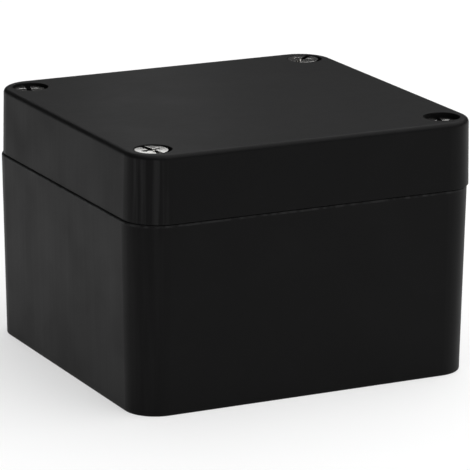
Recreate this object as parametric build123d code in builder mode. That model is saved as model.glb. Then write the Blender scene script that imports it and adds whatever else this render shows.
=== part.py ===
from build123d import *

import math
import os

# Plastic project box: moulded base and deep lid, sealing ring, four captive lid screws, brass inserts.
# Millimetres, +Z up. The origin is the centre of the underside of the base.

# Outside of the box
box_x = 80.0  # over the joint, left to right
box_y = 76.0  # over the joint, front to back
base_height = 41.0  # underside to the joint
lid_height = 14.5  # joint to the top
corner_radius = 7.7  # upright corners, at the joint
base_draft = 1.1  # degrees, the base narrows downwards
lid_draft = 0.95  # degrees, the lid narrows upwards
lid_top_radius = 1.1
lid_rim_radius = 0.15  # along the joint line
base_rim_radius = 0.5
foot_edge_radius = 0.3

# Walls
wall = 3.5
floor_thickness = 3.0
lid_top_thickness = 3.5
inner_draft = 0.5  # degrees
inner_corner_radius = 3.0  # upright corners of the hollow
inner_floor_radius = 1.5  # where the walls meet the floor, and in the lid its top

# Where the lid lies within its play, off the centre of the base
lid_shift_x = 0.3
lid_shift_y = -0.15
free_play = 0.1  # left at the tightest side of everything that the lid fits over

# Joint between the base and the lid
tongue_width = 1.8
tongue_height = 1.6
tongue_chamfer = 0.3
lip_width = 1.3  # inner wall of the lid's seal groove
gasket_height = 1.3
gasket_side_gap = 0.1
gasket_squeeze_gap = 0.1  # between the tongue and the uncompressed ring

# Lid screws, M4, with a waist that keeps them in the lid
screw_inset_x = 6.3  # screw axis from the outer faces, at the joint
screw_inset_y = 6.7
head_diameter = 6.9
head_height = 2.6
head_crown = 0.2
head_edge_radius = 0.35
head_sink = 1.4  # top of a tightened head below the lid's top
slot_width = 1.1
slot_depth = 1.1
cross_length = 4.2
cross_width = 1.0
cross_depth = 1.7
cross_taper = 8.0  # degrees
waist_diameter = 2.9
thread_diameter = 3.9
thread_engagement = 9.0  # screw tip below the joint
thread_start = 0.5  # first full thread below the joint
tip_chamfer = 0.5
web_thickness = 2.5  # ring of the lid under the screw head
recess_edge_radius = 0.15
# Each screw's height above its tightened place, and the way its slot points, in degrees from +X
screw_rise = {"front_left": 1.25, "front_right": 0.45, "back_left": 0.9, "back_right": 1.38}
slot_angles = {"front_left": 98.0, "front_right": 74.0, "back_left": 72.0, "back_right": 41.0}

# Brass inserts in the pillars, for the lid screws
pillar_insert_diameter = 5.6
pillar_insert_length = 8.0
pillar_insert_sink = 0.2
thread_clearance = 0.06
insert_fit = 0.03  # radial room around every insert
insert_groove_depth = 0.35
insert_groove_width = 1.0
insert_chamfer = 0.25
tip_room = 2.0  # below the screw tip

# Wall fixing holes in the base, under the lid and outside the seal
mount_spacing_y = 45.0
mount_hole_diameter = 4.4
mount_well_diameter = 7.6
mount_seat = 5.0  # left under the fixing screw's head
land = 1.0  # between the tongue and the wells
lid_pocket_depth = 8.5  # over each well, in the lid

# Floor bosses with M3 inserts
boss_inset_x = 20.0  # boss axis from the outer faces, at the joint
boss_inset_y = 13.0
boss_diameter = 7.6
boss_height = 5.0
boss_draft = 1.0  # degrees
floor_insert_diameter = 4.6
floor_insert_length = 5.0
floor_insert_bore = 2.5
floor_insert_proud = 0.1

# Marks of the moulding
gate_diameter = 7.0
gate_depth = 0.5
ejector_diameter = 5.0
ejector_depth = 0.2
ejector_spacing_x = 34.0
ejector_spacing_y = 26.0

# Worked out from the sizes above
total_height = base_height + lid_height
screw_x = box_x / 2 - screw_inset_x
screw_y = box_y / 2 - screw_inset_y
boss_x = box_x / 2 - boss_inset_x
boss_y = box_y / 2 - boss_inset_y
lid_shift = math.hypot(lid_shift_x, lid_shift_y)
lid_play = lid_shift + free_play
well_reach = mount_well_diameter / 2 + land + tongue_width
block_x = screw_x - well_reach  # inner faces of the corner blocks
bay_y = mount_spacing_y / 2 - well_reach
groove_depth = tongue_height + gasket_squeeze_gap + gasket_height
recess_diameter = head_diameter + 2 * lid_play
recess_depth = head_sink + head_height
web_bore = waist_diameter + 2 * lid_play
lower_bore = thread_diameter + 2 * lid_play
lower_bore_depth = lid_height - recess_depth - web_thickness
pillar_bore = thread_diameter + 2 * thread_clearance

joint = Plane.XY.offset(base_height)
lid_joint = Plane((lid_shift_x, lid_shift_y, base_height))
lid_top = lid_joint.offset(lid_height)
screw_seat_height = total_height - recess_depth

corner_spots = {
    "front_left": (-1, -1),
    "front_right": (1, -1),
    "back_left": (-1, 1),
    "back_right": (1, 1),
}


def inside_plan(grow):
    """Plan of the hollow between the corner blocks, grown outwards by a distance."""
    with BuildSketch() as plan:
        Rectangle(box_x - 2 * wall, 2 * bay_y)
        Rectangle(2 * block_x, box_y - 2 * wall)
        fillet(plan.vertices(), inner_corner_radius)
        if grow:
            offset(amount=grow)
    return plan.sketch


def corner_grid():
    """The four lid screws."""
    return GridLocations(2 * screw_x, 2 * screw_y, 2, 2)


def mount_grid():
    """The four wall fixing holes."""
    return GridLocations(2 * screw_x, mount_spacing_y, 2, 2)


def floor_grid():
    """The four floor bosses."""
    return GridLocations(2 * boss_x, 2 * boss_y, 2, 2)


hollow_plan = inside_plan(0)
tongue_plan = inside_plan(tongue_width)
groove_outer_plan = inside_plan(tongue_width + lid_play)
groove_inner_plan = inside_plan(-lid_play)
lid_hollow_plan = inside_plan(-lid_play - lip_width)
gasket_outer_plan = inside_plan(tongue_width + lid_play - gasket_side_gap)
gasket_inner_plan = inside_plan(gasket_side_gap - lid_play)

# Base: tub, tongue, pillars and wells in the corner blocks, floor bosses
with BuildPart() as base:
    with BuildSketch(joint):
        RectangleRounded(box_x, box_y, corner_radius)
    extrude(amount=-base_height, taper=base_draft)
    fillet(base.faces().sort_by(Axis.Z)[0].edges(), foot_edge_radius)
    fillet(base.faces().sort_by(Axis.Z)[-1].edges(), base_rim_radius)

    with BuildSketch(joint):
        add(hollow_plan)
    extrude(amount=floor_thickness - base_height, taper=inner_draft, mode=Mode.SUBTRACT)
    inner_floor = base.faces().filter_by(Plane.XY).sort_by(Axis.Z)[1]
    fillet(inner_floor.edges(), inner_floor_radius)

    with BuildSketch(joint):
        add(tongue_plan)
        add(hollow_plan, mode=Mode.SUBTRACT)
    extrude(amount=tongue_height)
    chamfer(base.faces().sort_by(Axis.Z)[-1].edges(), tongue_chamfer)

    with BuildSketch(Plane.XY.offset(floor_thickness)):
        with floor_grid():
            Circle(boss_diameter / 2)
    extrude(amount=boss_height, taper=boss_draft)
    with BuildSketch(Plane.XY.offset(floor_thickness + boss_height)):
        with floor_grid():
            Circle(floor_insert_diameter / 2 + insert_fit)
    extrude(amount=floor_insert_proud - floor_insert_length, mode=Mode.SUBTRACT)

    with BuildSketch(joint):
        with corner_grid():
            Circle(pillar_insert_diameter / 2 + insert_fit)
    extrude(amount=-pillar_insert_sink - pillar_insert_length, mode=Mode.SUBTRACT)
    with BuildSketch(joint):
        with corner_grid():
            Circle(pillar_bore / 2)
    extrude(amount=-thread_engagement - tip_room, mode=Mode.SUBTRACT)

    with BuildSketch(joint):
        with mount_grid():
            Circle(mount_well_diameter / 2)
    extrude(amount=mount_seat - base_height, mode=Mode.SUBTRACT)
    with BuildSketch(Plane.XY):
        with mount_grid():
            Circle(mount_hole_diameter / 2)
    extrude(amount=mount_seat, mode=Mode.SUBTRACT)

    with BuildSketch(Plane.XY):
        Circle(gate_diameter / 2)
    extrude(amount=gate_depth, mode=Mode.SUBTRACT)
    with BuildSketch(Plane.XY.offset(floor_thickness)):
        with GridLocations(ejector_spacing_x, ejector_spacing_y, 2, 2):
            Circle(ejector_diameter / 2)
    extrude(amount=-ejector_depth, mode=Mode.SUBTRACT)

# Lid: deep cap with a seal groove, screw recesses and the rings that hold the screws
with BuildPart() as lid:
    with BuildSketch(lid_joint):
        RectangleRounded(box_x, box_y, corner_radius)
    extrude(amount=lid_height, taper=lid_draft)
    fillet(lid.faces().sort_by(Axis.Z)[-1].edges(), lid_top_radius)
    fillet(lid.faces().sort_by(Axis.Z)[0].edges(), lid_rim_radius)

    with BuildSketch(lid_joint):
        add(lid_hollow_plan)
    extrude(amount=lid_height - lid_top_thickness, taper=inner_draft, mode=Mode.SUBTRACT)
    lid_ceiling = lid.faces().filter_by(Plane.XY).sort_by(Axis.Z)[1]
    fillet(lid_ceiling.edges(), inner_floor_radius)

    with BuildSketch(lid_joint):
        add(groove_outer_plan)
        add(groove_inner_plan, mode=Mode.SUBTRACT)
    extrude(amount=groove_depth, mode=Mode.SUBTRACT)

    with BuildSketch(lid_top):
        with corner_grid():
            Circle(recess_diameter / 2)
    extrude(amount=-recess_depth, mode=Mode.SUBTRACT)
    recess_edges = lid.edges().filter_by(GeomType.CIRCLE).group_by(Axis.Z)[-1]
    fillet(recess_edges, recess_edge_radius)
    with BuildSketch(lid_top):
        with corner_grid():
            Circle(web_bore / 2)
    extrude(amount=-lid_height, mode=Mode.SUBTRACT)
    with BuildSketch(lid_joint):
        with corner_grid():
            Circle(lower_bore / 2)
    extrude(amount=lower_bore_depth, mode=Mode.SUBTRACT)

    with BuildSketch(lid_joint):
        with mount_grid():
            Circle(mount_well_diameter / 2)
    extrude(amount=lid_pocket_depth, mode=Mode.SUBTRACT)

    with BuildSketch(lid_joint.offset(lid_height - lid_top_thickness)):
        with GridLocations(ejector_spacing_x, ejector_spacing_y, 2, 2):
            Circle(ejector_diameter / 2)
    extrude(amount=ejector_depth, mode=Mode.SUBTRACT)

# Gasket: one closed ring against the top of the lid's groove
with BuildPart() as gasket:
    with BuildSketch(lid_joint.offset(groove_depth)):
        add(gasket_outer_plan)
        add(gasket_inner_plan, mode=Mode.SUBTRACT)
    extrude(amount=-gasket_height)


def lid_screw(x, y, rise, slot_angle):
    """Captive screw: crowned head with a slot and a cross, waist, and a threaded end."""
    shank_length = screw_seat_height - base_height
    tip = -shank_length - thread_engagement
    thread_top = -shank_length - thread_start
    turn = math.radians(slot_angle)
    seat = Plane((x, y, screw_seat_height + rise), (math.cos(turn), math.sin(turn), 0), (0, 0, 1))
    section = Plane(seat.origin, seat.x_dir, -seat.y_dir)
    crown_edge = (head_diameter / 2, head_height - head_crown)
    crown_middle = (head_diameter / 4, head_height - head_crown / 4)
    with BuildPart() as screw:
        with BuildSketch(section) as profile:
            with BuildLine():
                Polyline(
                    (0, head_height),
                    (0, tip),
                    (thread_diameter / 2 - tip_chamfer, tip),
                    (thread_diameter / 2, tip + tip_chamfer),
                    (thread_diameter / 2, thread_top),
                    (waist_diameter / 2, thread_top),
                    (waist_diameter / 2, 0),
                    (head_diameter / 2, 0),
                    crown_edge,
                )
                ThreePointArc(crown_edge, crown_middle, (0, head_height))
            make_face()
            fillet(profile.vertices().sort_by_distance(crown_edge)[0], head_edge_radius)
        revolve(axis=Axis(seat.origin, seat.z_dir))
        with BuildSketch(seat.offset(head_height)):
            Rectangle(2 * head_diameter, slot_width)
        extrude(amount=-slot_depth, mode=Mode.SUBTRACT)
        with BuildSketch(seat.offset(head_height)):
            Rectangle(cross_width, cross_length)
            Rectangle(cross_length, cross_width)
        extrude(amount=-cross_depth, taper=cross_taper, mode=Mode.SUBTRACT)
    return screw.part


def brass_insert(x, y, top, diameter, length, bore):
    """Threaded bush with a holding groove around its middle."""
    section = Plane((x, y, top), (1, 0, 0), (0, -1, 0))
    outer = diameter / 2
    groove_radius = outer - insert_groove_depth
    groove_top = (insert_groove_width - length) / 2
    groove_bottom = groove_top - insert_groove_width
    with BuildPart() as insert:
        with BuildSketch(section):
            with BuildLine():
                Polyline(
                    (bore / 2 + insert_chamfer, 0),
                    (outer - insert_chamfer, 0),
                    (outer, -insert_chamfer),
                    (outer, groove_top),
                    (groove_radius, groove_top),
                    (groove_radius, groove_bottom),
                    (outer, groove_bottom),
                    (outer, -length),
                    (bore / 2, -length),
                    (bore / 2, -insert_chamfer),
                    close=True,
                )
            make_face()
        revolve(axis=Axis((x, y, top), (0, 0, 1)))
    return insert.part


pieces = {"base": base.part, "lid": lid.part, "gasket": gasket.part}
for corner, (side_x, side_y) in corner_spots.items():
    pillar_x = side_x * screw_x
    pillar_y = side_y * screw_y
    pieces["lid_screw_" + corner] = lid_screw(
        pillar_x, pillar_y, screw_rise[corner], slot_angles[corner]
    )
    pieces["pillar_insert_" + corner] = brass_insert(
        pillar_x,
        pillar_y,
        base_height - pillar_insert_sink,
        pillar_insert_diameter,
        pillar_insert_length,
        pillar_bore,
    )
    pieces["floor_insert_" + corner] = brass_insert(
        side_x * boss_x,
        side_y * boss_y,
        floor_thickness + boss_height + floor_insert_proud,
        floor_insert_diameter,
        floor_insert_length,
        floor_insert_bore,
    )

os.makedirs("parts", exist_ok=True)
for name, solid in pieces.items():
    solid.label = name
    export_step(solid, "parts/" + name + ".step")
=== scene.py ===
import math

import bpy
from mathutils import Matrix, Vector


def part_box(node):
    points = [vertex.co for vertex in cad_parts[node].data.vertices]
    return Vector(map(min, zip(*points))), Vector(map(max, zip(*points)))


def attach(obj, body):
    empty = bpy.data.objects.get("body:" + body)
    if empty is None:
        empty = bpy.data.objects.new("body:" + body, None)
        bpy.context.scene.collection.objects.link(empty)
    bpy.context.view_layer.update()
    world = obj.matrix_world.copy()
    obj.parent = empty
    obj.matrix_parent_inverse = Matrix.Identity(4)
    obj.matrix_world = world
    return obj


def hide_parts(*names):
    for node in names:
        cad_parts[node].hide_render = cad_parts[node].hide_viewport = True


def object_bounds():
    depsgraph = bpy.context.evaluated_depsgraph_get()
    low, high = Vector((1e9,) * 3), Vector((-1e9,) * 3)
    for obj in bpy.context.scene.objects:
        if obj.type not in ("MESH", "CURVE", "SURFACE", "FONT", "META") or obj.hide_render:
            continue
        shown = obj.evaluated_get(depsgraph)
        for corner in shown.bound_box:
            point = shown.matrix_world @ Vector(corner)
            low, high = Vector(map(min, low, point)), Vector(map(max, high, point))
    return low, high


# Plastic project box: finish of the black mouldings, turned screws, brass inserts and the rubber seal.
# Metres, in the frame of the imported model: +Z up, origin at the centre of the underside.

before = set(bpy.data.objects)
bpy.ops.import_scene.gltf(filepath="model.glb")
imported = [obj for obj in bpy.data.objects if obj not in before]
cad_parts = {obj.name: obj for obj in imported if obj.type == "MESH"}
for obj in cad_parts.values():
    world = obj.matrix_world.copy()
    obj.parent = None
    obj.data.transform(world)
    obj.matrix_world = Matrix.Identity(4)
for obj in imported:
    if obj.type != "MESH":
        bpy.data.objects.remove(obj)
cad_low, cad_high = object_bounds()

MM = 0.001

# Camera, as the photograph was taken
IMAGE_SIDE = 470  # pixels
FOCAL_PIXELS = 3668.5
SENSOR_WIDTH = 36.0  # millimetres
CAMERA_AZIMUTH = math.radians(-26.638)
CAMERA_ELEVATION = math.radians(15.174)
CAMERA_ROLL = math.radians(0.369)
CAMERA_DISTANCE = 794.3 * MM
CAMERA_RIGHT = 1.007 * MM  # off the line through the box's middle
CAMERA_UP = -1.918 * MM
CAMERA_NEAR = 0.01
CAMERA_FAR = 50.0

# Stage
FLOOR_SIDE = 12.0
FLOOR_COLOUR = (0.92, 0.92, 0.92, 1.0)
FLOOR_GLOW = 0.45  # share of plain white in what is seen of the floor
WORLD_GREY = 0.045
OVERHEAD_PLACE = (0.4, -0.3, 1.5)
OVERHEAD_SIZE = (3.0, 3.0)
OVERHEAD_POWER = 58.0
BACK_PLACE = (0.45, 0.9, 0.85)
BACK_SIZE = (1.2, 0.5)
BACK_POWER = 2.7
CARD_PLACE = (0.0494, 0.144, 0.114)  # small white card that the near screw head mirrors
CARD_AIM = (-0.0337, -0.0313, 0.0655)
CARD_SIZE = (0.026, 0.022)
CARD_POWER = 0.002
BOX_FOOT = (0.0, 0.0, 0.0)
WHITE = (1.0, 1.0, 1.0, 1.0)

# Finishes: pairs of colours are clean and marked, pairs of roughness are smooth and rough
MIX_PLAIN = 6  # colour sockets of a mix node, whose kinds share their names
MIX_MARKED = 7
MIX_RESULT = 2
NOISE_SPAN = (0.3, 0.7)  # where most of a noise lies
PLASTIC_COLOURS = ((0.0044, 0.0044, 0.0045, 1.0), (0.0052, 0.0052, 0.0053, 1.0))
PLASTIC_SHINE = 0.08  # specular level of the black plastic
PLASTIC_ROUGHNESS = (0.43, 0.49)
TOUCHED_ROUGHNESS = 0.03  # added where it was handled
GRAIN_SIZE = 0.25 * MM
GRAIN_DEPTH = 0.01 * MM
GRAIN_RELIEF = 0.3
PATCH_SIZE = 14.0 * MM
DRAW_LINE_SPACING = 2.5 * MM
DRAW_LINE_DEPTH = 0.03 * MM
DRAW_LINE_STRETCH = (1.0, 1.0, 0.03)  # draws a noise out along the height
MARK_SIZE = 9.0 * MM
MARK_SPAN = (0.48, 0.72)
# Lighter colour painted in upright streaks on the front left corner: a painted highlight
PAINTED_HIGHLIGHT_STREAK_COLOUR = (0.014, 0.014, 0.0142, 1.0)
STREAK_CORNER = (-70.5 * MM, -72.5 * MM)  # X plus Y where the painted highlight streaks begin and are full
STREAK_SPACING = 0.9 * MM
STREAK_STRETCH = (1.0, 1.0, 0.02)  # draws a noise out along the height
STREAK_SPAN = (0.45, 0.62)
STREAK_SHARES = (0.25, 1.0)  # on the base and on the lid
STREAK_STEP = 0.05 * MM  # to each side of the joint, from one share to the other
UPRIGHT_SPAN = (0.3, 0.05)  # height of the normal on a sloping and on an upright face
# Lighter colour painted on the base's edge just below the joint: a painted highlight
JOINT_HIGHLIGHT_COLOUR = (0.022, 0.022, 0.0222, 1.0)
JOINT_EDGE_FOOT = (0.75 * MM, 0.5 * MM)  # below the joint: where the painted highlight begins and is full
JOINT_EDGE_TOP = (0.1 * MM, 0.3 * MM)  # below the joint: where it ends and is still full
JOINT_EDGE_DASH = 1.5 * MM
JOINT_EDGE_SPAN = (0.38, 0.6)
JOINT_EDGE_SHARES = (0.1, 1.0)
OUTSIDE_SPAN = (-3.0 * MM, -2.5 * MM)  # from the outer faces, deep enough for the rounded corners
STEEL_COLOURS = ((0.74, 0.73, 0.71, 1.0), (0.6, 0.58, 0.55, 1.0))
STEEL_ROUGHNESS = (0.1, 0.2)
BRASS_COLOURS = ((0.72, 0.55, 0.27, 1.0), (0.55, 0.4, 0.19, 1.0))
BRASS_ROUGHNESS = (0.24, 0.42)
METAL_MARK_SIZE = 1.6 * MM
RINGS_PER_MM = 9.0
RING_DEPTH = 0.01 * MM
RING_RELIEF = 0.08  # of the rings that turning leaves
DIRT_COLOUR = (0.05, 0.046, 0.042, 1.0)
DIRT_COVER = 0.5
DIRT_RIM = (0.1, 0.2)  # millimetres in from the head's side where dirt starts and is full
DIRT_FACE = (0.05, 0.3)  # millimetres below the head's face
DIRT_FOOT = (0.2, 0.4)  # millimetres above the underside of the head
RUBBER_COLOURS = ((0.03, 0.03, 0.031, 1.0), (0.05, 0.05, 0.051, 1.0))
RUBBER_SHINE = 0.3
RUBBER_ROUGHNESS = (0.68, 0.82)
RUBBER_GRAIN_SIZE = 0.12 * MM
RUBBER_GRAIN_DEPTH = 0.02 * MM
RUBBER_GRAIN_RELIEF = 0.35
RUBBER_PATCH_SIZE = 5.0 * MM
RUBBER_MARK_SIZE = 4.0 * MM

# Modelling
WELD = 0.001 * MM  # vertices this near are one
NEAR = 0.01 * MM  # as near as counts for picking edges and corners
THREAD_NEAR = 0.002 * MM  # as near as counts for the cylinder that a thread is cut in
DOWNWARD = -0.5  # height of the normal on a face that looks down

CORNERS = ("front_left", "front_right", "back_left", "back_right")

# Lid screws: turning profile, measured up from under the head
HEAD_RADIUS = 3.45 * MM
HEAD_HEIGHT = 2.6 * MM
HEAD_CROWN = 0.06 * MM
HEAD_EDGE = 0.03 * MM
CROWN_STEPS = (0.0, 0.35, 0.7, 0.89)  # shares of the head's radius
CROWN_AT_EDGE = 0.85  # share of the crown's drop where the edge begins
HEAD_EDGE_STEPS = (70, 50, 30, 12, 0)  # degrees
SCREW_STEPS = 48  # faces round the axis
SCREW_EDGE_BREAK = 0.05 * MM
SCREW_SMOOTHING = math.radians(25)
WAIST_RADIUS = 1.45 * MM
SCREW_THREAD_RADIUS = 1.95 * MM
SCREW_THREAD_TOP = -11.0 * MM
SCREW_TIP = -19.5 * MM
TIP_CHAMFER = 0.5 * MM
SLOT_LENGTH = 4 * HEAD_RADIUS  # past both sides of the head
SLOT_WIDTH = 1.1 * MM
SLOT_DEPTH = 1.1 * MM
CROSS_LENGTH = 4.2 * MM
CROSS_WIDTH = 1.0 * MM
CROSS_DEPTH = 1.7 * MM
CROSS_TAPER = math.radians(8.0)
SLOT_ANGLES = {"front_left": 98.0, "front_right": 74.0, "back_left": 72.0, "back_right": 41.0}
COARSE_PITCH = 0.7 * MM  # M4
FINE_PITCH = 0.5 * MM  # M3
PITCH_ROWS = 12  # rows of vertices along one turn of a thread
SCREW_THREAD_DEPTH = 0.36 * MM
INSERT_THREAD_DEPTH = 0.22 * MM

# Brass inserts
INSERT_STEPS = 40
INSERT_EDGE_BREAK = 0.04 * MM
INSERT_SMOOTHING = math.radians(55)
INSERT_CHAMFER = 0.25 * MM
INSERT_GROOVE_DEPTH = 0.35 * MM
INSERT_GROOVE_WIDTH = 1.0 * MM
PILLAR_BORE_RADIUS = 2.01 * MM
FLOOR_BORE_RADIUS = 1.25 * MM

EDGE_BREAK_SEGMENTS = 2
EDGE_BREAK_ANGLE = math.radians(40)  # edges of turned pieces that turn by more are broken

# Rubber seal
SEAL_WIDTH = 2.4708 * MM
SEAL_ARM_X = 29.2354 * MM  # half width of the plan between the corner blocks
SEAL_ARM_Y = 18.0354 * MM
SEAL_OUTER_CORNER = 5.1354 * MM
SEAL_INNER_CORNER = 0.8646 * MM
SEAL_EDGE = 0.4 * MM
SEAL_OUTER_SEGMENTS = 12
SEAL_INNER_SEGMENTS = 8
SEAL_EDGE_SEGMENTS = 4
SEAL_EDGE_ANGLE = math.radians(50)
SEAL_SMOOTHING = math.radians(40)
SEAL_FLAT_ANGLE = math.radians(1.0)
SEAL_ARMS = ((1, 0), (-1, 0), (0, 1), (0, -1))


def deselect_all():
    """Leaves edit mode and selects nothing."""
    if bpy.context.object and bpy.context.object.mode != "OBJECT":
        bpy.ops.object.mode_set(mode="OBJECT")
    bpy.ops.object.select_all(action="DESELECT")


def add_node(tree, kind, sockets=None, **settings):
    """New shader node, with its settings, and its inputs set or linked by name."""
    made = tree.nodes.new(kind)
    for key, value in settings.items():
        setattr(made, key, value)
    for key, value in (sockets or {}).items():
        if isinstance(value, bpy.types.NodeSocket):
            tree.links.new(value, made.inputs[key])
        else:
            made.inputs[key].default_value = value
    return made


def new_material(name):
    """Material with a Principled BSDF, and its tree and shader."""
    material = bpy.data.materials.new(name)
    material.use_nodes = True
    tree = material.node_tree
    return material, tree, tree.nodes["Principled BSDF"]


def new_group(name, inputs, outputs):
    """Shader node group with named inputs and outputs, and its two end nodes."""
    tree = bpy.data.node_groups.new(name, "ShaderNodeTree")
    for socket, kind, value in inputs:
        made = tree.interface.new_socket(socket, in_out="INPUT", socket_type=kind)
        if value is not None:
            made.default_value = value
    for socket, kind in outputs:
        tree.interface.new_socket(socket, in_out="OUTPUT", socket_type=kind)
    return tree, tree.nodes.new("NodeGroupInput"), tree.nodes.new("NodeGroupOutput")


# Camera and stage
def place_camera():
    """Camera at the photograph's angle, looking at the middle of the box."""
    back = Vector((
        math.sin(CAMERA_AZIMUTH) * math.cos(CAMERA_ELEVATION),
        -math.cos(CAMERA_AZIMUTH) * math.cos(CAMERA_ELEVATION),
        math.sin(CAMERA_ELEVATION),
    ))
    level_right = Vector((math.cos(CAMERA_AZIMUTH), math.sin(CAMERA_AZIMUTH), 0.0))
    level_up = back.cross(level_right)
    right = level_right * math.cos(CAMERA_ROLL) + level_up * math.sin(CAMERA_ROLL)
    up = level_up * math.cos(CAMERA_ROLL) - level_right * math.sin(CAMERA_ROLL)
    middle = Vector((0.0, 0.0, cad_high.z / 2))
    place = middle + back * CAMERA_DISTANCE + right * CAMERA_RIGHT + up * CAMERA_UP
    lens = bpy.data.cameras.new("photo_camera")
    lens.sensor_fit = "HORIZONTAL"
    lens.sensor_width = SENSOR_WIDTH
    lens.lens = SENSOR_WIDTH * FOCAL_PIXELS / IMAGE_SIDE
    lens.clip_start = CAMERA_NEAR
    lens.clip_end = CAMERA_FAR
    camera = bpy.data.objects.new("photo_camera", lens)
    camera.matrix_world = Matrix((
        (right.x, up.x, back.x, place.x),
        (right.y, up.y, back.y, place.y),
        (right.z, up.z, back.z, place.z),
        (0.0, 0.0, 0.0, 1.0),
    ))
    bpy.context.scene.collection.objects.link(camera)
    bpy.context.scene.camera = camera


def add_lamp(name, place, aim, size, power):
    """Softbox, turned to its aim and out of the camera's sight."""
    light = bpy.data.lights.new(name, "AREA")
    light.shape = "RECTANGLE"
    light.size, light.size_y = size
    light.energy = power
    lamp = bpy.data.objects.new(name, light)
    lamp.location = place
    lamp.rotation_euler = (Vector(aim) - Vector(place)).to_track_quat("-Z", "Y").to_euler()
    lamp.visible_camera = False
    bpy.context.scene.collection.objects.link(lamp)


def floor_material():
    """White floor that keeps its shadow and is clear from below."""
    material, tree, paint = new_material("white_floor")
    paint.inputs["Base Color"].default_value = FLOOR_COLOUR
    paint.inputs["Roughness"].default_value = 1.0
    paint.inputs["Specular IOR Level"].default_value = 0.0
    path = add_node(tree, "ShaderNodeLightPath")
    mirrored = add_node(
        tree,
        "ShaderNodeMath",
        {0: path.outputs["Is Camera Ray"], 1: path.outputs["Is Glossy Ray"]},
    )
    seen = add_node(
        tree,
        "ShaderNodeMath",
        {0: mirrored.outputs[0], 1: path.outputs["Is Transmission Ray"]},
        use_clamp=True,
    )
    share = add_node(tree, "ShaderNodeMath", {0: seen.outputs[0], 1: FLOOR_GLOW}, operation="MULTIPLY")
    glow = add_node(tree, "ShaderNodeEmission", {"Color": WHITE, "Strength": 1.0})
    lit = add_node(
        tree,
        "ShaderNodeMixShader",
        {0: share.outputs[0], 1: paint.outputs["BSDF"], 2: glow.outputs["Emission"]},
    )
    side = add_node(tree, "ShaderNodeNewGeometry")
    clear = add_node(tree, "ShaderNodeBsdfTransparent")
    both = add_node(
        tree,
        "ShaderNodeMixShader",
        {0: side.outputs["Backfacing"], 1: lit.outputs["Shader"], 2: clear.outputs["BSDF"]},
    )
    tree.links.new(both.outputs["Shader"], tree.nodes["Material Output"].inputs["Surface"])
    return material


def set_stage():
    """Pale floor, grey surroundings and soft lamps."""
    deselect_all()
    bpy.ops.mesh.primitive_plane_add(size=FLOOR_SIDE)
    floor = bpy.context.object
    floor.name = "floor"
    floor.data.materials.append(floor_material())
    world = bpy.data.worlds.new("studio")
    world.use_nodes = True
    surroundings = world.node_tree.nodes["Background"]
    surroundings.inputs["Color"].default_value = WHITE
    surroundings.inputs["Strength"].default_value = WORLD_GREY
    bpy.context.scene.world = world
    add_lamp("overhead_softbox", OVERHEAD_PLACE, BOX_FOOT, OVERHEAD_SIZE, OVERHEAD_POWER)
    add_lamp("back_softbox", BACK_PLACE, BOX_FOOT, BACK_SIZE, BACK_POWER)
    add_lamp("white_card", CARD_PLACE, CARD_AIM, CARD_SIZE, CARD_POWER)
    bpy.context.scene.view_settings.view_transform = "Standard"


# Finishes
def moulded_grain_group():
    """Fine grain of a moulded surface, upright draw lines, and slow patches where the gloss changes."""
    tree, given, result = new_group(
        "moulded_grain",
        [
            ("Position", "NodeSocketVector", None),
            ("Grain Size", "NodeSocketFloat", GRAIN_SIZE),
            ("Patch Size", "NodeSocketFloat", PATCH_SIZE),
            ("Line Spacing", "NodeSocketFloat", DRAW_LINE_SPACING),
        ],
        [
            ("Height", "NodeSocketFloat"),
            ("Patches", "NodeSocketFloat"),
            ("Draw Lines", "NodeSocketFloat"),
        ],
    )
    grains = add_node(tree, "ShaderNodeMath", {0: 1.0, 1: given.outputs["Grain Size"]}, operation="DIVIDE")
    fine = add_node(
        tree,
        "ShaderNodeTexNoise",
        {"Vector": given.outputs["Position"], "Scale": grains.outputs[0], "Detail": 3.0, "Roughness": 0.6},
    )
    patches = add_node(tree, "ShaderNodeMath", {0: 1.0, 1: given.outputs["Patch Size"]}, operation="DIVIDE")
    slow = add_node(
        tree,
        "ShaderNodeTexNoise",
        {"Vector": given.outputs["Position"], "Scale": patches.outputs[0], "Detail": 2.0, "Roughness": 0.5},
    )
    upright = add_node(
        tree,
        "ShaderNodeVectorMath",
        {0: given.outputs["Position"], 1: DRAW_LINE_STRETCH},
        operation="MULTIPLY",
    )
    lines = add_node(tree, "ShaderNodeMath", {0: 1.0, 1: given.outputs["Line Spacing"]}, operation="DIVIDE")
    drawn = add_node(
        tree,
        "ShaderNodeTexNoise",
        {"Vector": upright.outputs["Vector"], "Scale": lines.outputs[0], "Detail": 2.0, "Roughness": 0.5},
    )
    tree.links.new(fine.outputs["Fac"], result.inputs["Height"])
    tree.links.new(slow.outputs["Fac"], result.inputs["Patches"])
    tree.links.new(drawn.outputs["Fac"], result.inputs["Draw Lines"])
    return tree


def turned_marks_group():
    """Fine rings that a lathe tool leaves, from the radius and height of a turned piece."""
    tree, given, result = new_group(
        "turned_marks",
        [("Turning", "NodeSocketVector", None), ("Rings per mm", "NodeSocketFloat", RINGS_PER_MM)],
        [("Rings", "NodeSocketFloat")],
    )
    fine = add_node(
        tree,
        "ShaderNodeTexNoise",
        {
            "Vector": given.outputs["Turning"],
            "Scale": given.outputs["Rings per mm"],
            "Detail": 4.0,
            "Roughness": 0.65,
        },
        noise_dimensions="2D",
    )
    tree.links.new(fine.outputs["Fac"], result.inputs["Rings"])
    return tree


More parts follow.
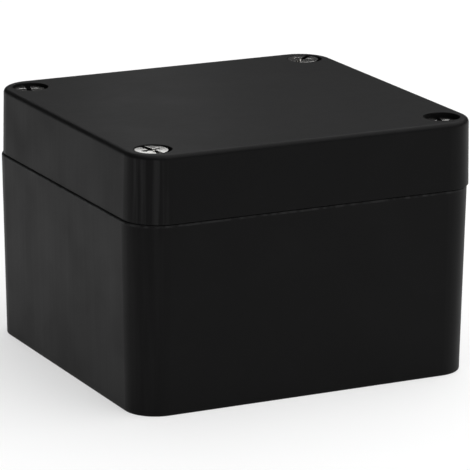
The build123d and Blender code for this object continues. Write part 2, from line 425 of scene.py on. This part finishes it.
def handling_marks_group():
    """Faint smears and specks where fingers and tools have been."""
    tree, given, result = new_group(
        "handling_marks",
        [("Position", "NodeSocketVector", None), ("Mark Size", "NodeSocketFloat", MARK_SIZE)],
        [("Marks", "NodeSocketFloat")],
    )
    marks = add_node(tree, "ShaderNodeMath", {0: 1.0, 1: given.outputs["Mark Size"]}, operation="DIVIDE")
    cloudy = add_node(
        tree,
        "ShaderNodeTexNoise",
        {"Vector": given.outputs["Position"], "Scale": marks.outputs[0], "Detail": 5.0, "Distortion": 0.6},
    )
    patch = map_range(tree, cloudy.outputs["Fac"], MARK_SPAN, (0.0, 1.0))
    tree.links.new(patch, result.inputs["Marks"])
    return tree


def mix_colours(tree, share, plain, marked):
    """Colour between two, by a share that changes over the surface."""
    mixed = add_node(tree, "ShaderNodeMix", data_type="RGBA")
    tree.links.new(share, mixed.inputs[0])
    if isinstance(plain, bpy.types.NodeSocket):
        tree.links.new(plain, mixed.inputs[MIX_PLAIN])
    else:
        mixed.inputs[MIX_PLAIN].default_value = plain
    mixed.inputs[MIX_MARKED].default_value = marked
    return mixed.outputs[MIX_RESULT]


def map_range(tree, value, source, target):
    """Value carried from one range to another."""
    mapped = add_node(
        tree,
        "ShaderNodeMapRange",
        {
            "Value": value,
            "From Min": source[0],
            "From Max": source[1],
            "To Min": target[0],
            "To Max": target[1],
        },
    )
    return mapped.outputs["Result"]


def slot_dirt(tree, turning):
    """Share of dirt in the slot and cross of a screw head, from the radius and height in millimetres."""
    parts = add_node(tree, "ShaderNodeSeparateXYZ", {"Vector": turning})
    side = HEAD_RADIUS / MM
    face = (HEAD_HEIGHT - HEAD_CROWN) / MM
    inside = map_range(tree, parts.outputs["X"], (side - DIRT_RIM[0], side - DIRT_RIM[1]), (0.0, 1.0))
    sunk = map_range(tree, parts.outputs["Y"], (face - DIRT_FACE[0], face - DIRT_FACE[1]), (0.0, DIRT_COVER))
    head = map_range(tree, parts.outputs["Y"], DIRT_FOOT, (0.0, 1.0))
    hollow = add_node(tree, "ShaderNodeMath", {0: inside, 1: sunk}, operation="MULTIPLY")
    dirt = add_node(tree, "ShaderNodeMath", {0: hollow.outputs[0], 1: head}, operation="MULTIPLY")
    return dirt.outputs[0]


def turned_metal(name, rings, marks, colours, roughness, dirt=None):
    """Turned metal with tool rings and dull smears, and with dirt where the piece collects it."""
    material, tree, shader = new_material(name)
    place = add_node(tree, "ShaderNodeTexCoord")
    turning = add_node(tree, "ShaderNodeUVMap", uv_map="turning")
    lathe = add_node(tree, "ShaderNodeGroup", {}, node_tree=rings)
    tree.links.new(turning.outputs["UV"], lathe.inputs["Turning"])
    smears = add_node(tree, "ShaderNodeGroup", {}, node_tree=marks)
    tree.links.new(place.outputs["Object"], smears.inputs["Position"])
    smears.inputs["Mark Size"].default_value = METAL_MARK_SIZE
    dull = add_node(
        tree,
        "ShaderNodeMath",
        {0: smears.outputs["Marks"], 1: lathe.outputs["Rings"]},
        operation="MULTIPLY",
    )
    colour = mix_colours(tree, dull.outputs[0], *colours)
    if dirt:
        colour = mix_colours(tree, dirt(tree, turning.outputs["UV"]), colour, DIRT_COLOUR)
    tree.links.new(colour, shader.inputs["Base Color"])
    ringed = map_range(tree, lathe.outputs["Rings"], NOISE_SPAN, roughness)
    tree.links.new(ringed, shader.inputs["Roughness"])
    relief = add_node(
        tree,
        "ShaderNodeBump",
        {"Height": lathe.outputs["Rings"], "Strength": RING_RELIEF, "Distance": RING_DEPTH},
    )
    tree.links.new(relief.outputs["Normal"], shader.inputs["Normal"])
    shader.inputs["Metallic"].default_value = 1.0
    return material


def seal_rubber(grain, marks):
    """Matt black rubber with a dusty bloom."""
    material, tree, shader = new_material("seal_rubber_matt")
    place = add_node(tree, "ShaderNodeTexCoord")
    skin = add_node(tree, "ShaderNodeGroup", {}, node_tree=grain)
    tree.links.new(place.outputs["Object"], skin.inputs["Position"])
    skin.inputs["Grain Size"].default_value = RUBBER_GRAIN_SIZE
    skin.inputs["Patch Size"].default_value = RUBBER_PATCH_SIZE
    bloom = add_node(tree, "ShaderNodeGroup", {}, node_tree=marks)
    tree.links.new(place.outputs["Object"], bloom.inputs["Position"])
    bloom.inputs["Mark Size"].default_value = RUBBER_MARK_SIZE
    colour = mix_colours(tree, bloom.outputs["Marks"], *RUBBER_COLOURS)
    tree.links.new(colour, shader.inputs["Base Color"])
    matt = map_range(tree, skin.outputs["Patches"], NOISE_SPAN, RUBBER_ROUGHNESS)
    tree.links.new(matt, shader.inputs["Roughness"])
    relief = add_node(
        tree,
        "ShaderNodeBump",
        {"Height": skin.outputs["Height"], "Strength": RUBBER_GRAIN_RELIEF, "Distance": RUBBER_GRAIN_DEPTH},
    )
    tree.links.new(relief.outputs["Normal"], shader.inputs["Normal"])
    shader.inputs["Specular IOR Level"].default_value = RUBBER_SHINE
    return material


def all_of(tree, shares):
    """Share of the surface where all these shares hold together."""
    product = shares[0]
    for share in shares[1:]:
        product = add_node(tree, "ShaderNodeMath", {0: product, 1: share}, operation="MULTIPLY").outputs[0]
    return product


def painted_highlight_streaks(tree, place, parts):
    """Upright streaks of painted highlight on the front left corner, most of all on the lid."""
    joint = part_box("lid")[0].z
    step = (joint - STREAK_STEP, joint + STREAK_STEP)
    out = add_node(tree, "ShaderNodeMath", {0: parts.outputs["X"], 1: parts.outputs["Y"]}).outputs[0]
    facing = add_node(tree, "ShaderNodeSeparateXYZ", {"Vector": place.outputs["Normal"]})
    drawn = add_node(
        tree,
        "ShaderNodeVectorMath",
        {0: place.outputs["Object"], 1: STREAK_STRETCH},
        operation="MULTIPLY",
    )
    lines = add_node(
        tree,
        "ShaderNodeTexNoise",
        {"Vector": drawn.outputs["Vector"], "Scale": 1.0 / STREAK_SPACING, "Detail": 2.0},
    )
    return all_of(tree, (
        map_range(tree, lines.outputs["Fac"], STREAK_SPAN, (0.0, 1.0)),
        map_range(tree, out, STREAK_CORNER, (0.0, 1.0)),
        map_range(tree, parts.outputs["Z"], step, STREAK_SHARES),
        map_range(tree, facing.outputs["Z"], UPRIGHT_SPAN, (0.0, 1.0)),
    ))


def painted_joint_highlight(tree, place, parts):
    """Painted highlight on the base's edge along the joint, broken into dashes."""
    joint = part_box("lid")[0].z
    foot = [joint - below for below in JOINT_EDGE_FOOT]
    top = [joint - below for below in JOINT_EDGE_TOP]
    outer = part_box("base")[1]
    past = []
    for axis, half in (("X", outer.x), ("Y", outer.y)):
        reach = add_node(tree, "ShaderNodeMath", {0: parts.outputs[axis]}, operation="ABSOLUTE").outputs[0]
        past.append(add_node(tree, "ShaderNodeMath", {0: reach, 1: half}, operation="SUBTRACT").outputs[0])
    out = add_node(tree, "ShaderNodeMath", {0: past[0], 1: past[1]}, operation="MAXIMUM").outputs[0]
    dashes = add_node(
        tree,
        "ShaderNodeTexNoise",
        {"Vector": place.outputs["Object"], "Scale": 1.0 / JOINT_EDGE_DASH, "Detail": 2.0},
    )
    return all_of(tree, (
        map_range(tree, dashes.outputs["Fac"], JOINT_EDGE_SPAN, JOINT_EDGE_SHARES),
        map_range(tree, out, OUTSIDE_SPAN, (0.0, 1.0)),
        map_range(tree, parts.outputs["Z"], foot, (0.0, 1.0)),
        map_range(tree, parts.outputs["Z"], top, (0.0, 1.0)),
    ))


def black_plastic(grain, marks):
    """Satin black moulding, with painted highlight streaks at the front left corner and a painted highlight
    along the base's edge at the joint.
    """
    material, tree, shader = new_material("black_plastic_satin")
    place = add_node(tree, "ShaderNodeTexCoord")
    skin = add_node(tree, "ShaderNodeGroup", {}, node_tree=grain)
    tree.links.new(place.outputs["Object"], skin.inputs["Position"])
    smears = add_node(tree, "ShaderNodeGroup", {}, node_tree=marks)
    tree.links.new(place.outputs["Object"], smears.inputs["Position"])
    colour = mix_colours(tree, smears.outputs["Marks"], *PLASTIC_COLOURS)
    parts = add_node(tree, "ShaderNodeSeparateXYZ", {"Vector": place.outputs["Object"]})
    # Painted highlight: lighter upright streaks on the front left corner
    colour = mix_colours(tree, painted_highlight_streaks(tree, place, parts), colour, PAINTED_HIGHLIGHT_STREAK_COLOUR)
    # Painted highlight: lighter dashes along the base's edge below the joint
    colour = mix_colours(tree, painted_joint_highlight(tree, place, parts), colour, JOINT_HIGHLIGHT_COLOUR)
    tree.links.new(colour, shader.inputs["Base Color"])
    satin = map_range(tree, skin.outputs["Patches"], NOISE_SPAN, PLASTIC_ROUGHNESS)
    touched = map_range(tree, smears.outputs["Marks"], (0.0, 1.0), (0.0, TOUCHED_ROUGHNESS))
    gloss = add_node(tree, "ShaderNodeMath", {0: satin, 1: touched})
    tree.links.new(gloss.outputs[0], shader.inputs["Roughness"])
    drawn = add_node(
        tree,
        "ShaderNodeBump",
        {"Height": skin.outputs["Draw Lines"], "Strength": 1.0, "Distance": DRAW_LINE_DEPTH},
    )
    relief = add_node(
        tree,
        "ShaderNodeBump",
        {
            "Height": skin.outputs["Height"],
            "Strength": GRAIN_RELIEF,
            "Distance": GRAIN_DEPTH,
            "Normal": drawn.outputs["Normal"],
        },
    )
    tree.links.new(relief.outputs["Normal"], shader.inputs["Normal"])
    shader.inputs["Specular IOR Level"].default_value = PLASTIC_SHINE
    return material


# Turned pieces
def draw_profile(name, points, closed):
    """Edge chain through (radius, height) points, drawn out vertex by vertex, left in edit mode."""
    deselect_all()
    bpy.ops.mesh.primitive_plane_add(size=MM)
    piece = bpy.context.object
    piece.name = name
    bpy.ops.object.mode_set(mode="EDIT")
    bpy.ops.mesh.merge(type="CENTER")
    bpy.ops.transform.translate(value=(points[0][0], 0.0, points[0][1]))
    for here, there in zip(points, points[1:]):
        step = (there[0] - here[0], 0.0, there[1] - here[1])
        bpy.ops.mesh.extrude_vertices_move(TRANSFORM_OT_translate={"value": step})
    if closed:
        bpy.ops.object.mode_set(mode="OBJECT")
        piece.data.vertices[0].select = True
        bpy.ops.object.mode_set(mode="EDIT")
        bpy.ops.mesh.edge_face_add()
    return piece


def turn_profile(piece, steps):
    """Spins the drawn profile about Z into a closed skin."""
    bpy.ops.mesh.select_all(action="SELECT")
    bpy.ops.mesh.spin(steps=steps, angle=2 * math.pi, center=(0.0, 0.0, 0.0), axis=(0.0, 0.0, 1.0))
    bpy.ops.mesh.select_all(action="SELECT")
    bpy.ops.mesh.remove_doubles(threshold=WELD)
    bpy.ops.mesh.normals_make_consistent(inside=False)
    bpy.ops.object.mode_set(mode="OBJECT")


def apply_bevel(piece, width, segments, angle):
    """Rounds the edges that turn by more than an angle."""
    rounding = piece.modifiers.new("rounding", "BEVEL")
    rounding.width = width
    rounding.segments = segments
    rounding.limit_method = "ANGLE"
    rounding.angle_limit = angle
    bpy.context.view_layer.objects.active = piece
    bpy.ops.object.modifier_apply(modifier="rounding")


def thread_rows(top, bottom, pitch):
    """Heights of the rows along a thread, both ends with it."""
    count = round((top - bottom) / pitch * PITCH_ROWS)
    return [top + (bottom - top) * row / count for row in range(count + 1)]


def cut_thread(piece, radius, depth, top, bottom, pitch):
    """Moves the vertices of a plain cylinder into a right-hand thread that runs out at both ends."""
    for vertex in piece.data.vertices:
        place = vertex.co
        reach = math.hypot(place.x, place.y)
        if abs(reach - radius) > THREAD_NEAR or place.z > top or place.z < bottom:
            continue
        turn = math.atan2(place.y, place.x) / (2 * math.pi)
        wave = 0.5 - 0.5 * math.cos(2 * math.pi * (place.z / pitch - turn))
        run_out = min(1.0, (top - place.z) / pitch, (place.z - bottom) / pitch)
        moved = (reach - depth * wave * run_out) / reach
        place.x *= moved
        place.y *= moved


def add_turning_map(piece):
    """UV map of radius and height in millimetres, so that turning marks run round the axis."""
    layer = piece.data.uv_layers.new(name="turning")
    for loop in piece.data.loops:
        place = piece.data.vertices[loop.vertex_index].co
        layer.data[loop.index].uv = (math.hypot(place.x, place.y) / MM, place.z / MM)


def smooth_piece(piece, angle):
    """Smooth shading over edges that turn by less than an angle."""
    deselect_all()
    piece.select_set(True)
    bpy.context.view_layer.objects.active = piece
    bpy.ops.object.shade_smooth_by_angle(angle=angle)


def cut_away(piece, size, taper):
    """Takes a tapered bar out of the top of a screw head."""
    length, width, depth = size
    above = HEAD_CROWN
    deselect_all()
    bpy.ops.mesh.primitive_cube_add(size=1.0, location=(0.0, 0.0, HEAD_HEIGHT - depth / 2 + above / 2))
    bar = bpy.context.object
    bar.scale = (length, width, depth + above)
    bpy.ops.object.transform_apply(location=True, rotation=True, scale=True)
    if taper:
        narrowing = 2 * depth * math.tan(taper)
        bpy.ops.object.mode_set(mode="EDIT")
        bpy.ops.mesh.select_mode(type="FACE")
        bpy.ops.mesh.select_all(action="DESELECT")
        bpy.ops.object.mode_set(mode="OBJECT")
        for face in bar.data.polygons:
            face.select = face.normal.z < DOWNWARD
        bpy.ops.object.mode_set(mode="EDIT")
        bpy.ops.transform.resize(value=((length - narrowing) / length, (width - narrowing) / width, 1.0))
        bpy.ops.mesh.select_mode(type="VERT")
        bpy.ops.object.mode_set(mode="OBJECT")
    cut = piece.modifiers.new("cut", "BOOLEAN")
    cut.operation = "DIFFERENCE"
    cut.solver = "EXACT"
    cut.object = bar
    bpy.context.view_layer.objects.active = piece
    bpy.ops.object.modifier_apply(modifier="cut")
    bpy.data.objects.remove(bar, do_unlink=True)


def turned_screw():
    """Captive screw at the origin: crowned head, waist and threaded end."""
    ball = (HEAD_RADIUS**2 + HEAD_CROWN**2) / (2 * HEAD_CROWN)
    points = []
    for share in CROWN_STEPS:
        radius = share * HEAD_RADIUS
        points.append((radius, HEAD_HEIGHT - ball + math.sqrt(ball**2 - radius**2)))
    edge_radius = HEAD_RADIUS - HEAD_EDGE
    edge_height = HEAD_HEIGHT - HEAD_CROWN * CROWN_AT_EDGE - HEAD_EDGE
    for degrees in HEAD_EDGE_STEPS:
        swing = math.radians(degrees)
        out, rise = HEAD_EDGE * math.cos(swing), HEAD_EDGE * math.sin(swing)
        points.append((edge_radius + out, edge_height + rise))
    points += [(HEAD_RADIUS, 0.0), (WAIST_RADIUS, 0.0), (WAIST_RADIUS, SCREW_THREAD_TOP)]
    thread_end = SCREW_TIP + TIP_CHAMFER
    for height in thread_rows(SCREW_THREAD_TOP, thread_end, COARSE_PITCH):
        points.append((SCREW_THREAD_RADIUS, height))
    points += [(SCREW_THREAD_RADIUS - TIP_CHAMFER, SCREW_TIP), (0.0, SCREW_TIP)]
    screw = draw_profile("screw_pattern", points, False)
    turn_profile(screw, SCREW_STEPS)
    cut_away(screw, (SLOT_LENGTH, SLOT_WIDTH, SLOT_DEPTH), 0.0)
    cut_away(screw, (CROSS_LENGTH, CROSS_WIDTH, CROSS_DEPTH), CROSS_TAPER)
    cut_away(screw, (CROSS_WIDTH, CROSS_LENGTH, CROSS_DEPTH), CROSS_TAPER)
    apply_bevel(screw, SCREW_EDGE_BREAK, EDGE_BREAK_SEGMENTS, EDGE_BREAK_ANGLE)
    cut_thread(screw, SCREW_THREAD_RADIUS, SCREW_THREAD_DEPTH, SCREW_THREAD_TOP, thread_end, COARSE_PITCH)
    add_turning_map(screw)
    smooth_piece(screw, SCREW_SMOOTHING)
    return screw


def turned_insert(name, outer, length, bore, pitch):
    """Threaded bush at the origin, its top at zero, with a holding groove round the middle."""
    groove_top = (INSERT_GROOVE_WIDTH - length) / 2
    groove_floor = outer - INSERT_GROOVE_DEPTH
    points = [
        (bore + INSERT_CHAMFER, 0.0),
        (outer - INSERT_CHAMFER, 0.0),
        (outer, -INSERT_CHAMFER),
        (outer, groove_top),
        (groove_floor, groove_top),
        (groove_floor, groove_top - INSERT_GROOVE_WIDTH),
        (outer, groove_top - INSERT_GROOVE_WIDTH),
        (outer, -length),
    ]
    for height in reversed(thread_rows(-INSERT_CHAMFER, -length, pitch)):
        points.append((bore, height))
    insert = draw_profile(name, points, True)
    turn_profile(insert, INSERT_STEPS)
    apply_bevel(insert, INSERT_EDGE_BREAK, EDGE_BREAK_SEGMENTS, EDGE_BREAK_ANGLE)
    cut_thread(insert, bore, -INSERT_THREAD_DEPTH, -INSERT_CHAMFER, -length, pitch)
    add_turning_map(insert)
    smooth_piece(insert, INSERT_SMOOTHING)
    return insert


def set_copy(pattern, name, place, degrees):
    """Own copy of a turned piece, with its turn and place in the mesh."""
    copy = pattern.copy()
    copy.data = pattern.data.copy()
    copy.name = name
    copy.data.name = name
    bpy.context.scene.collection.objects.link(copy)
    deselect_all()
    copy.select_set(True)
    bpy.context.view_layer.objects.active = copy
    copy.location = place
    copy.rotation_euler = (0.0, 0.0, math.radians(degrees))
    bpy.ops.object.transform_apply(location=True, rotation=True, scale=True)
    return copy


def middle_of(node):
    """Middle of a node in plan, with its lowest and highest place."""
    low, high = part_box(node)
    return (low.x + high.x) / 2, (low.y + high.y) / 2, low.z, high.z


def add_screws(steel):
    """Four captive lid screws, each at its own height and turn."""
    pattern = turned_screw()
    pattern.data.materials.append(steel)
    for corner in CORNERS:
        node = "lid_screw_" + corner
        x, y, tip, _ = middle_of(node)
        place = (x, y, tip - SCREW_TIP)
        screw = set_copy(pattern, "turned_screw_" + corner, place, SLOT_ANGLES[corner])
        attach(screw, "screw_" + corner)
        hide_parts(node)
    bpy.data.objects.remove(pattern, do_unlink=True)


def add_inserts(brass):
    """Brass inserts of the pillars and of the floor bosses."""
    for kind, bore, pitch in (
        ("pillar_insert", PILLAR_BORE_RADIUS, COARSE_PITCH),
        ("floor_insert", FLOOR_BORE_RADIUS, FINE_PITCH),
    ):
        low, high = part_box(kind + "_front_left")
        pattern = turned_insert(kind + "_pattern", (high.x - low.x) / 2, high.z - low.z, bore, pitch)
        pattern.data.materials.append(brass)
        for corner in CORNERS:
            node = kind + "_" + corner
            x, y, _, top = middle_of(node)
            insert = set_copy(pattern, "threaded_" + node, (x, y, top), 0.0)
            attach(insert, "base")
            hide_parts(node)
        bpy.data.objects.remove(pattern, do_unlink=True)


# Rubber seal
def select_corners(piece, wanted):
    """Selects the vertices for which wanted(place) holds, and no others."""
    bpy.ops.mesh.select_all(action="DESELECT")
    bpy.ops.object.mode_set(mode="OBJECT")
    for vertex in piece.data.vertices:
        vertex.select = wanted(vertex.co)
    bpy.ops.object.mode_set(mode="EDIT")


def add_seal(rubber):
    """Seal: cross-shaped plan with rounded corners, cut to a ring, thickened and rounded."""
    low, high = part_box("gasket")
    half_x = (high.x - low.x) / 2
    half_y = (high.y - low.y) / 2
    deselect_all()
    bpy.ops.mesh.primitive_plane_add(size=2.0)
    seal = bpy.context.object
    seal.name = "rubber_seal"
    seal.scale = (SEAL_ARM_X, SEAL_ARM_Y, 1.0)
    bpy.ops.object.transform_apply(location=True, rotation=True, scale=True)
    bpy.ops.object.mode_set(mode="EDIT")
    bpy.ops.mesh.select_mode(type="EDGE")
    for side_x, side_y in SEAL_ARMS:
        bpy.ops.mesh.select_all(action="DESELECT")
        bpy.ops.object.mode_set(mode="OBJECT")
        for edge in seal.data.edges:
            start, end = (seal.data.vertices[corner].co for corner in edge.vertices)
            middle = (start + end) / 2
            arm = Vector((side_x * SEAL_ARM_X, side_y * SEAL_ARM_Y, 0.0))
            edge.select = (middle - arm).length < NEAR
        bpy.ops.object.mode_set(mode="EDIT")
        reach = (side_x * (half_x - SEAL_ARM_X), side_y * (half_y - SEAL_ARM_Y), 0.0)
        bpy.ops.mesh.extrude_edges_move(TRANSFORM_OT_translate={"value": reach})
    bpy.ops.mesh.select_mode(type="VERT")
    bpy.ops.mesh.select_all(action="SELECT")
    bpy.ops.mesh.dissolve_limited(angle_limit=SEAL_FLAT_ANGLE)
    select_corners(seal, lambda place: abs(place.x) < SEAL_ARM_X + NEAR and abs(place.y) < SEAL_ARM_Y + NEAR)
    bpy.ops.mesh.bevel(
        offset=SEAL_INNER_CORNER, segments=SEAL_INNER_SEGMENTS, affect="VERTICES", clamp_overlap=False
    )
    select_corners(seal, lambda place: abs(place.x) > half_x - NEAR or abs(place.y) > half_y - NEAR)
    bpy.ops.mesh.bevel(
        offset=SEAL_OUTER_CORNER, segments=SEAL_OUTER_SEGMENTS, affect="VERTICES", clamp_overlap=False
    )
    bpy.ops.mesh.select_all(action="SELECT")
    bpy.ops.mesh.select_mode(type="FACE")
    bpy.ops.mesh.inset(thickness=SEAL_WIDTH, use_even_offset=True)
    bpy.ops.mesh.delete(type="FACE")
    bpy.ops.mesh.select_all(action="SELECT")
    bpy.ops.mesh.extrude_region_move(TRANSFORM_OT_translate={"value": (0.0, 0.0, high.z - low.z)})
    bpy.ops.mesh.select_all(action="SELECT")
    bpy.ops.transform.translate(value=((low.x + high.x) / 2, (low.y + high.y) / 2, low.z))
    bpy.ops.mesh.select_mode(type="VERT")
    bpy.ops.mesh.select_all(action="SELECT")
    bpy.ops.mesh.remove_doubles(threshold=WELD)
    bpy.ops.mesh.normals_make_consistent(inside=False)
    bpy.ops.object.mode_set(mode="OBJECT")
    apply_bevel(seal, SEAL_EDGE, SEAL_EDGE_SEGMENTS, SEAL_EDGE_ANGLE)
    smooth_piece(seal, SEAL_SMOOTHING)
    seal.data.materials.append(rubber)
    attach(seal, "lid")
    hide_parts("gasket")


def give(node, material):
    """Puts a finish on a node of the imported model."""
    node.material_slots[0].material = material


grain = moulded_grain_group()
marks = handling_marks_group()
rings = turned_marks_group()
plastic = black_plastic(grain, marks)
for name in ("base", "lid"):
    give(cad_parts[name], plastic)
add_screws(turned_metal("screw_steel_turned", rings, marks, STEEL_COLOURS, STEEL_ROUGHNESS, slot_dirt))
add_inserts(turned_metal("insert_brass_turned", rings, marks, BRASS_COLOURS, BRASS_ROUGHNESS))
add_seal(seal_rubber(grain, marks))

set_stage()
place_camera()
